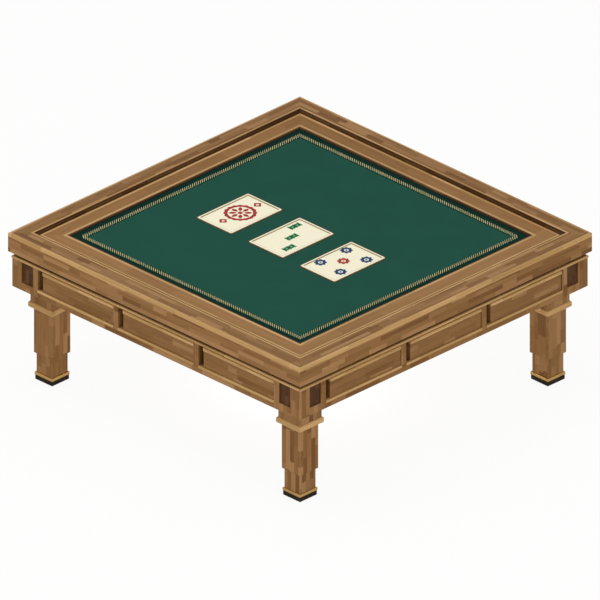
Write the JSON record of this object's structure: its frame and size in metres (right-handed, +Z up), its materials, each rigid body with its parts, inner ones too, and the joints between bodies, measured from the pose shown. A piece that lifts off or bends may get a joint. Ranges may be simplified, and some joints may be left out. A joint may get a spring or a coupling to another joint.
{
  "type": "games table",
  "caption": "Low square games table with a raised wood rim, lift-out felt board with inlaid tiles, sliding counter trays in its apron and stepped legs.",
  "frame": {"origin": "on the floor, below the centre of the table", "axes": "+Z up; -Y is the south side, which a player sitting there reads the tiles from; +X is east"},
  "size_m": [0.9, 0.9, 0.36],
  "materials": {
    "brown_wood": "brown hardwood staves, satin",
    "pale_wood": "pale hardwood, satin",
    "dark_wood": "dark stained hardwood, matt",
    "plain_wood": "unfinished softwood and plywood",
    "felt": "green wool felt with a stitched border",
    "cream_tile": "cream resin, semi-gloss",
    "brass": "satin brass",
    "black_rubber": "black rubber, matt",
    "steel": "zinc plated steel",
    "tray_face_wood": "brown hardwood with a pale lip, satin",
    "tray_box_wood": "plain birch"
  },
  "bodies": {
    "table": {"rim_rail_south": "brown_wood", "rim_rail_east": "brown_wood", "rim_rail_north": "brown_wood", "rim_rail_west": "brown_wood", "corner_post_south_west": "brown_wood", "corner_post_south_east": "brown_wood", "corner_post_north_east": "brown_wood", "corner_post_north_west": "brown_wood", "leg_south_west": "brown_wood", "leg_south_east": "brown_wood", "leg_north_east": "brown_wood", "leg_north_west": "brown_wood", "apron_bottom_rails": "brown_wood", "apron_muntins": "brown_wood", "rim_lipping": "pale_wood", "apron_top_rails": "pale_wood", "sill_beads": "pale_wood", "leg_collars": "pale_wood", "shadow_battens": "dark_wood", "corner_inlays": "dark_wood", "board_ledgers": "plain_wood", "inner_rails": "plain_wood", "tray_floors": "plain_wood", "tray_guides": "plain_wood", "tray_stops": "plain_wood", "corner_blocks": "plain_wood", "foot_ferrules": "brass", "foot_pads": "black_rubber", "leg_bolts_washers_nuts": "steel"},
    "playing_board": {"board_band_rails": "brown_wood", "board_edging": "pale_wood", "board_core": "plain_wood", "felt": "felt", "tile_left": "cream_tile", "tile_middle": "cream_tile", "tile_right": "cream_tile"},
    "tray_south_left": {"tray_south_left_face": "tray_face_wood", "tray_south_left_box": "tray_box_wood"},
    "tray_south_middle": {"tray_south_middle_face": "tray_face_wood", "tray_south_middle_box": "tray_box_wood"},
    "tray_south_right": {"tray_south_right_face": "tray_face_wood", "tray_south_right_box": "tray_box_wood"},
    "tray_east_left": {"tray_east_left_face": "tray_face_wood", "tray_east_left_box": "tray_box_wood"},
    "tray_east_middle": {"tray_east_middle_face": "tray_face_wood", "tray_east_middle_box": "tray_box_wood"},
    "tray_east_right": {"tray_east_right_face": "tray_face_wood", "tray_east_right_box": "tray_box_wood"},
    "tray_north_left": {"tray_north_left_face": "tray_face_wood", "tray_north_left_box": "tray_box_wood"},
    "tray_north_middle": {"tray_north_middle_face": "tray_face_wood", "tray_north_middle_box": "tray_box_wood"},
    "tray_north_right": {"tray_north_right_face": "tray_face_wood", "tray_north_right_box": "tray_box_wood"},
    "tray_west_left": {"tray_west_left_face": "tray_face_wood", "tray_west_left_box": "tray_box_wood"},
    "tray_west_middle": {"tray_west_middle_face": "tray_face_wood", "tray_west_middle_box": "tray_box_wood"},
    "tray_west_right": {"tray_west_right_face": "tray_face_wood", "tray_west_right_box": "tray_box_wood"}
  },
  "joints": [
    {"name": "board_lift", "type": "slide", "parent": "table", "child": "playing_board", "axis": [0, 0, 1], "range_m": [0, 0.06]},
    {"name": "tray_south_left_slide", "type": "slide", "parent": "table", "child": "tray_south_left", "axis": [0, -1, 0], "range_m": [0, 0.0595]},
    {"name": "tray_south_middle_slide", "type": "slide", "parent": "table", "child": "tray_south_middle", "axis": [0, -1, 0], "range_m": [0, 0.0595]},
    {"name": "tray_south_right_slide", "type": "slide", "parent": "table", "child": "tray_south_right", "axis": [0, -1, 0], "range_m": [0, 0.0595]},
    {"name": "tray_east_left_slide", "type": "slide", "parent": "table", "child": "tray_east_left", "axis": [1, 0, 0], "range_m": [0, 0.0595]},
    {"name": "tray_east_middle_slide", "type": "slide", "parent": "table", "child": "tray_east_middle", "axis": [1, 0, 0], "range_m": [0, 0.0595]},
    {"name": "tray_east_right_slide", "type": "slide", "parent": "table", "child": "tray_east_right", "axis": [1, 0, 0], "range_m": [0, 0.0595]},
    {"name": "tray_north_left_slide", "type": "slide", "parent": "table", "child": "tray_north_left", "axis": [0, 1, 0], "range_m": [0, 0.0595]},
    {"name": "tray_north_middle_slide", "type": "slide", "parent": "table", "child": "tray_north_middle", "axis": [0, 1, 0], "range_m": [0, 0.0595]},
    {"name": "tray_north_right_slide", "type": "slide", "parent": "table", "child": "tray_north_right", "axis": [0, 1, 0], "range_m": [0, 0.0595]},
    {"name": "tray_west_left_slide", "type": "slide", "parent": "table", "child": "tray_west_left", "axis": [-1, 0, 0], "range_m": [0, 0.0595]},
    {"name": "tray_west_middle_slide", "type": "slide", "parent": "table", "child": "tray_west_middle", "axis": [-1, 0, 0], "range_m": [0, 0.0595]},
    {"name": "tray_west_right_slide", "type": "slide", "parent": "table", "child": "tray_west_right", "axis": [-1, 0, 0], "range_m": [0, 0.0595]}
  ]
}
